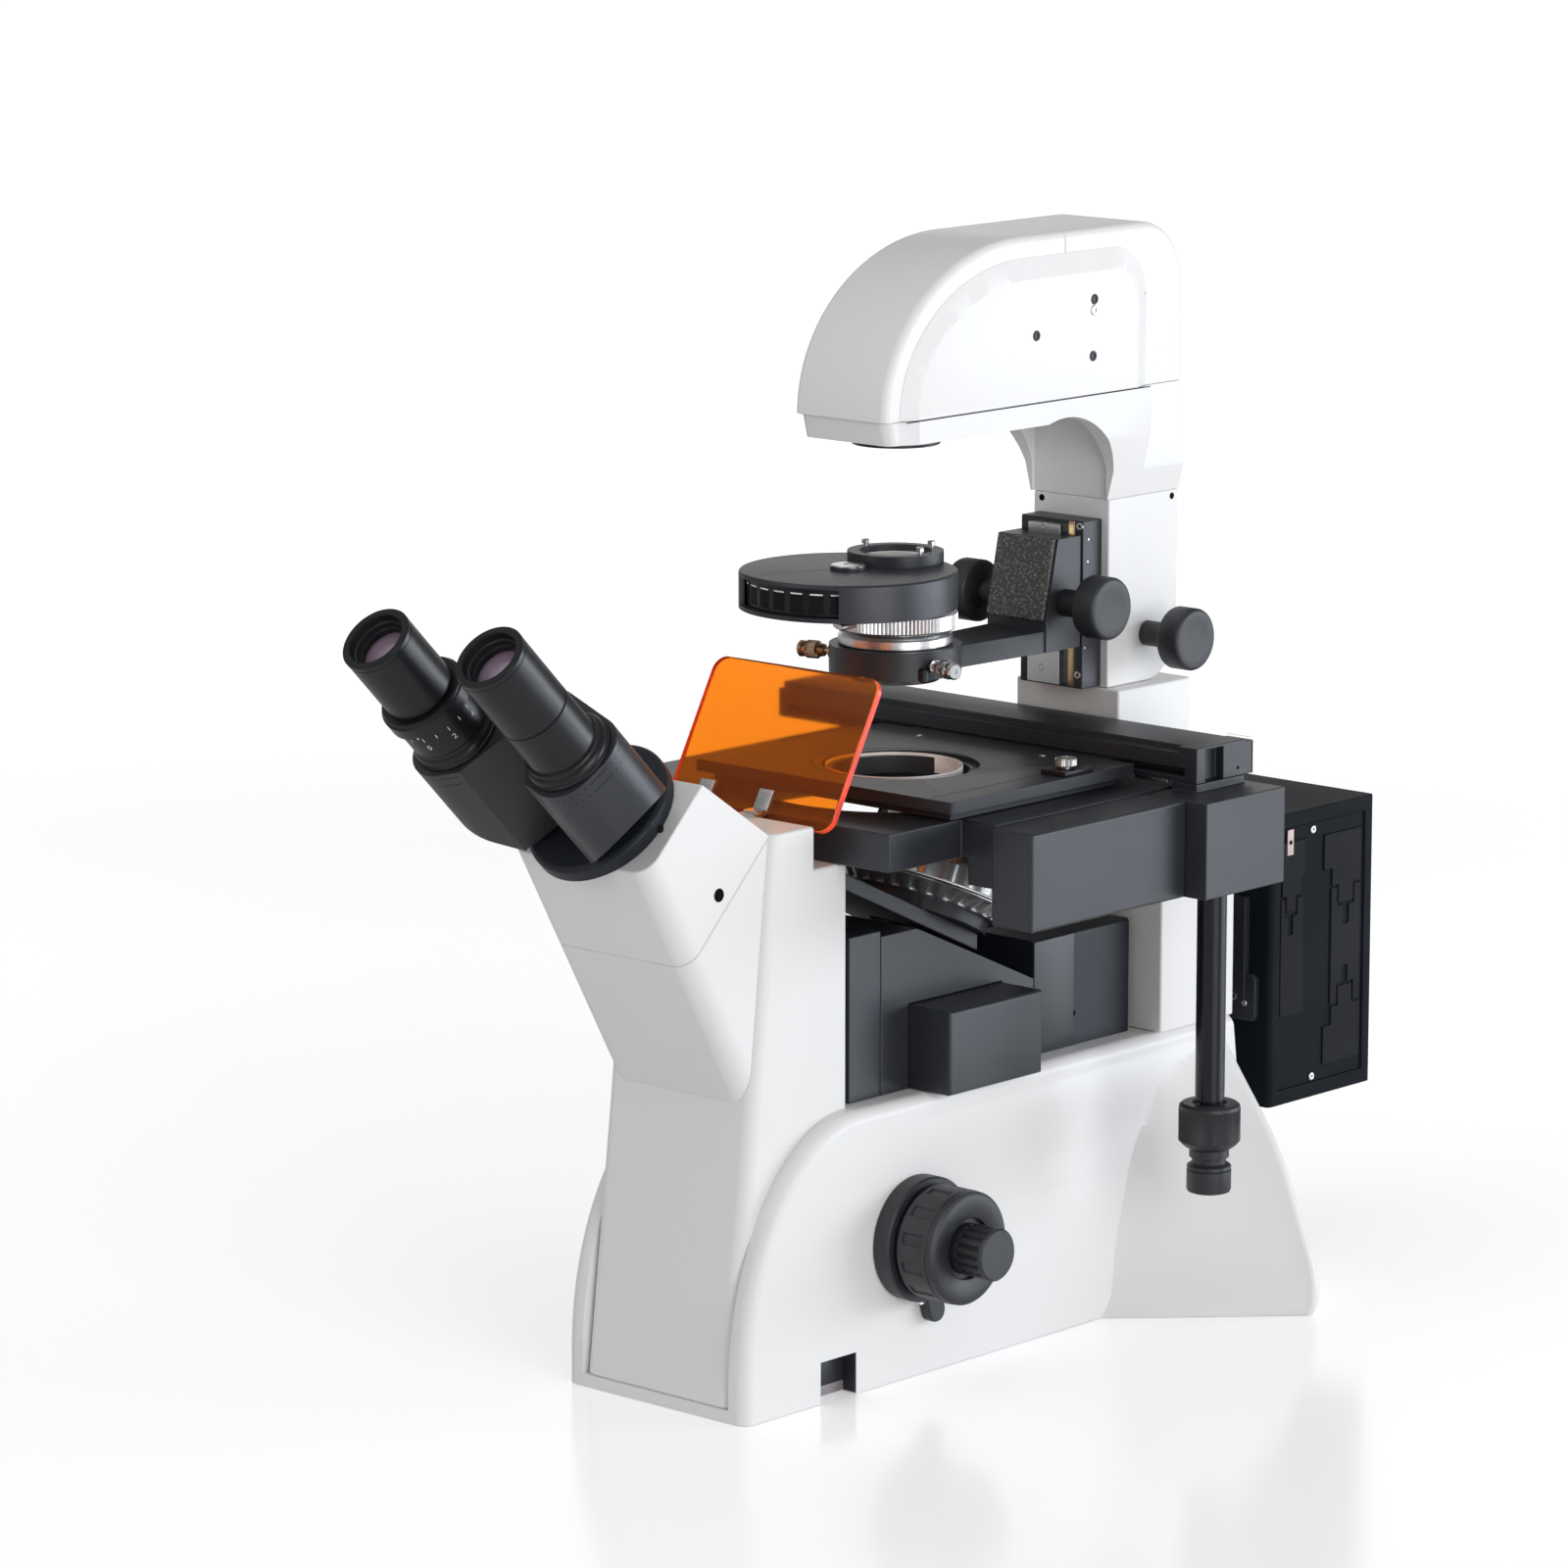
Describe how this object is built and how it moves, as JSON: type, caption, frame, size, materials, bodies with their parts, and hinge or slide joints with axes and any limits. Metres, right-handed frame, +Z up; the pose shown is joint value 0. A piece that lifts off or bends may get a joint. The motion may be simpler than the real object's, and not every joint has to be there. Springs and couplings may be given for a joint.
{
  "type": "inverted microscope",
  "caption": "Inverted microscope with folding binocular head, tilting illumination arm, phase condenser, mechanical stage and fluorescence lamp house.",
  "frame": {"origin": "on the optical axis at bench level", "axes": "+Z up, -Y towards the observer, +X the observer's right"},
  "size_m": [0.301, 0.6462, 0.5528],
  "materials": {
    "white_paint": "satin white paint",
    "black_paint": "satin black paint",
    "wrinkle_black": "wrinkle black paint",
    "black_anodised": "black anodised, semi-matt",
    "black_knob": "matt black, moulded",
    "rubber": "matt",
    "bright_steel": "bright machined",
    "chrome": "polished",
    "silver_ring": "clear anodised",
    "orange_acrylic": "clear orange sheet, polished",
    "glass": "coated glass",
    "mirror": "front silvered",
    "lamp_socket": "ceramic socket and quartz bulb"
  },
  "bodies": {
    "stand": {"base_casting": "white_paint", "rubber_pads": "rubber", "bottom_plate": "black_paint", "front_pillar": "white_paint", "head_housing": "white_paint", "front_cover": "white_paint", "rear_column": "white_paint", "stage_slab": "black_paint", "focus_guide": "black_paint", "fold_mirror": "mirror", "binocular_mount": "black_paint", "orange_shield": "orange_acrylic", "shield_clips": "bright_steel", "focus_channel": "black_paint", "filter_housing": "black_paint", "illuminator_case": "black_paint", "illuminator_tube": "black_paint", "lamp_house": "black_paint"},
    "right_prism": {"right_prism_case": "black_paint", "right_tube": "black_anodised", "right_eyepiece": "black_anodised", "right_eye_lens": "glass"},
    "left_prism": {"left_prism_case": "black_paint", "left_tube": "black_anodised", "left_eyepiece": "black_anodised", "left_eye_lens": "glass"},
    "diopter": {"diopter_ring": "black_anodised"},
    "illuminator": {"illumination_column": "white_paint", "arm_shell": "white_paint", "arm_front_cover": "white_paint", "arm_rear_cover": "white_paint", "arm_side_panels": "white_paint", "field_lens": "glass", "halogen_lamp": "lamp_socket", "condenser_rail": "black_paint", "condenser_rack": "bright_steel"},
    "tilt_clamp": {"tilt_clamp_knob": "black_knob"},
    "condenser": {"condenser_carrier": "black_paint", "carrier_cover": "wrinkle_black", "condenser_holder": "black_paint", "centring_screws": "bright_steel", "condenser_barrel": "silver_ring", "turret_case": "black_paint"},
    "condenser_drive": {"condenser_knobs": "black_knob"},
    "aperture": {"aperture_ring": "silver_ring"},
    "phase_turret": {"turret_disc": "black_anodised"},
    "y_stage": {"y_carriage": "black_paint", "drive_housing": "black_paint", "x_guide_bar": "black_paint"},
    "x_stage": {"specimen_plate": "black_paint"},
    "y_drive": {"y_knob": "black_knob"},
    "x_drive": {"x_knob": "black_knob"},
    "focus_slide": {"nosepiece_arm": "black_paint"},
    "nosepiece": {"nosepiece_turret": "chrome", "objectives": "chrome"},
    "coarse_drive": {"coarse_knobs": "black_knob"},
    "fine_drive": {"fine_knobs": "black_knob"},
    "tension": {"tension_ring": "black_knob"},
    "filter_slide": {"filter_drawer": "black_paint", "filter_cubes": "black_anodised"}
  },
  "joints": [
    {"name": "right_prism_fold", "type": "hinge", "parent": "stand", "child": "right_prism", "pos_m": [0, -0.208, 0.296], "axis": [0, -0.7071, 0.7071], "range_deg": [-31, 18.9]},
    {"name": "left_prism_fold", "type": "hinge", "parent": "stand", "child": "left_prism", "pos_m": [0, -0.208, 0.296], "axis": [0, -0.7071, 0.7071], "range_deg": [-18.9, 31]},
    {"name": "diopter_turn", "type": "hinge", "parent": "left_prism", "child": "diopter", "pos_m": [-0.03709, -0.29016, 0.3602], "axis": [0, -0.7071, 0.7071], "range_deg": [-90, 90]},
    {"name": "illuminator_tilt", "type": "hinge", "parent": "stand", "child": "illuminator", "pos_m": [0, 0.166, 0.341], "axis": [-1, 0, 0], "range_deg": [0, 30]},
    {"name": "tilt_clamp_turn", "type": "hinge", "parent": "illuminator", "child": "tilt_clamp", "pos_m": [0, 0.166, 0.341], "axis": [1, 0, 0], "range_deg": [0, 180]},
    {"name": "condenser_height", "type": "slide", "parent": "illuminator", "child": "condenser", "axis": [0, 0, 1], "range_m": [-0.024, 0.007]},
    {"name": "condenser_knob_turn", "type": "hinge", "parent": "condenser", "child": "condenser_drive", "pos_m": [0, 0.108, 0.363], "axis": [1, 0, 0], "range_deg": [-70, 232]},
    {"name": "aperture_turn", "type": "hinge", "parent": "condenser", "child": "aperture", "pos_m": [0, 0, 0.3665], "axis": [0, 0, 1], "range_deg": [-60, 60]},
    {"name": "phase_turret_turn", "type": "hinge", "parent": "condenser", "child": "phase_turret", "pos_m": [0, -0.035, 0.386], "axis": [0, 0, 1], "continuous": true},
    {"name": "stage_y_travel", "type": "slide", "parent": "stand", "child": "y_stage", "axis": [0, -1, 0], "range_m": [0, 0.035]},
    {"name": "stage_x_travel", "type": "slide", "parent": "y_stage", "child": "x_stage", "axis": [1, 0, 0], "range_m": [-0.035, 0.03]},
    {"name": "y_knob_turn", "type": "hinge", "parent": "y_stage", "child": "y_drive", "pos_m": [0.13, 0.091, 0.114], "axis": [0, 0, 1], "range_deg": [-345, 10]},
    {"name": "x_knob_turn", "type": "hinge", "parent": "y_stage", "child": "x_drive", "pos_m": [0.13, 0.091, 0.086], "axis": [0, 0, 1], "range_deg": [-345, 300]},
    {"name": "focus_travel", "type": "slide", "parent": "stand", "child": "focus_slide", "axis": [0, 0, 1], "range_m": [-0.002, 0.005]},
    {"name": "nosepiece_turn", "type": "hinge", "parent": "focus_slide", "child": "nosepiece", "pos_m": [0, 0.022, 0.232], "axis": [0, 0.4226, 0.9063], "continuous": true},
    {"name": "coarse_turn", "type": "hinge", "parent": "stand", "child": "coarse_drive", "pos_m": [0, -0.052, 0.071], "axis": [1, 0, 0], "range_deg": [-50, 22]},
    {"name": "fine_turn", "type": "hinge", "parent": "stand", "child": "fine_drive", "pos_m": [0, -0.052, 0.071], "axis": [1, 0, 0], "continuous": true},
    {"name": "tension_turn", "type": "hinge", "parent": "stand", "child": "tension", "pos_m": [0.065, -0.052, 0.071], "axis": [1, 0, 0], "range_deg": [-40, 40]},
    {"name": "filter_change", "type": "slide", "parent": "stand", "child": "filter_slide", "axis": [1, 0, 0], "range_m": [-0.027, 0]}
  ],
  "couplings": [
    {"joint": "left_prism_fold", "follows": "right_prism_fold", "ratio": -1},
    {"joint": "condenser_knob_turn", "follows": "condenser_height", "rad_per_m": -166.67},
    {"joint": "y_knob_turn", "follows": "stage_y_travel", "rad_per_m": -166.67},
    {"joint": "x_knob_turn", "follows": "stage_x_travel", "rad_per_m": 166.67},
    {"joint": "coarse_turn", "follows": "focus_travel", "rad_per_m": -166.67}
  ]
}
